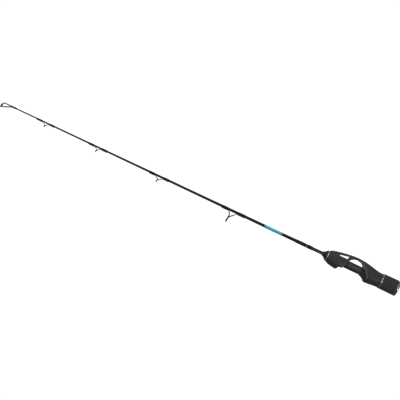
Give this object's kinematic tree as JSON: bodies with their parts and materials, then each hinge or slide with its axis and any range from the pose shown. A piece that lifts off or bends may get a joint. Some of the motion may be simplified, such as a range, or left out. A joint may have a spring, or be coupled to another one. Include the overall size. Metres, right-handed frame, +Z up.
{
  "type": "ice fishing rod",
  "caption": "Short ice fishing rod with a tapered blank, underslung line guides, a skeleton reel seat with an open arch, and a screw-down foam grip that slides the rear hood.",
  "frame": {"origin": "centre of the flat pad under the reel seat barrel, where the reel's foot rests", "axes": "+X along the rod towards the butt end, so the tip points to -X; +Z up, away from the reel and the line guides, towards the open arch; Y across the rod, whose two sides mirror each other"},
  "size_m": [0.76, 0.0276, 0.0412],
  "materials": {
    "moulding": "fine-grained moulded nylon, satin",
    "barrel": "moulded nylon with slanted grip ribs, satin",
    "hub": "plain moulded nylon",
    "arbor": "turned foam-plastic bushing",
    "foam": "closed-cell EVA foam, matte",
    "copper": "copper-coloured anodised, satin with bright edges",
    "rubber": "soft black rubber",
    "check": "smooth black rubber",
    "silver": "bright metallised trim",
    "steel": "spring steel",
    "brass": "stamped washer",
    "blank": "carbon blank, clear-coated; bare and greyer by the handle",
    "blue": "teal blue lacquer band",
    "thread": "black thread under epoxy",
    "guide": "black-plated guide frame",
    "ceramic": "polished dark ceramic ring"
  },
  "bodies": {
    "root": {"seat_shell": "moulding", "seat_barrel": "barrel", "stop_collar": "hub", "front_arbor": "arbor", "rear_arbor": "arbor", "winding_check": "check", "nose_trim_ring": "silver", "blank": "blank", "blue_band": "blue", "band_rear_trim": "silver", "band_front_trim": "silver", "end_trim": "silver", "end_wrap": "thread", "butt_wrap": "thread", "tip_top_frame": "guide", "tip_top_insert": "ceramic", "guide_1_frame": "guide", "guide_1_insert": "ceramic", "guide_1_front_wrap": "thread", "guide_1_rear_wrap": "thread", "guide_2_frame": "guide", "guide_2_insert": "ceramic", "guide_2_front_wrap": "thread", "guide_2_rear_wrap": "thread", "guide_3_frame": "guide", "guide_3_insert": "ceramic", "guide_3_front_wrap": "thread", "guide_3_rear_wrap": "thread", "guide_4_frame": "guide", "guide_4_insert": "ceramic", "guide_4_front_wrap": "thread", "guide_4_rear_wrap": "thread"},
    "hood": {"sliding_hood": "moulding", "snap_ring": "steel", "thrust_washer": "brass"},
    "knob": {"knob_hub": "hub", "eva_grip": "foam", "front_ring": "copper", "rear_ring": "copper", "butt_cap": "rubber"}
  },
  "joints": [
    {"name": "hood_travel", "type": "slide", "parent": "root", "child": "hood", "axis": [1, 0, 0], "range_m": [0, 0.01]},
    {"name": "knob_spin", "type": "hinge", "parent": "hood", "child": "knob", "pos_m": [0.0705, 0, 0.0063], "axis": [1, 0, 0], "range_deg": [0, 1440]}
  ],
  "couplings": [
    {"joint": "knob_spin", "follows": "hood_travel", "rad_per_m": 2513.3}
  ]
}
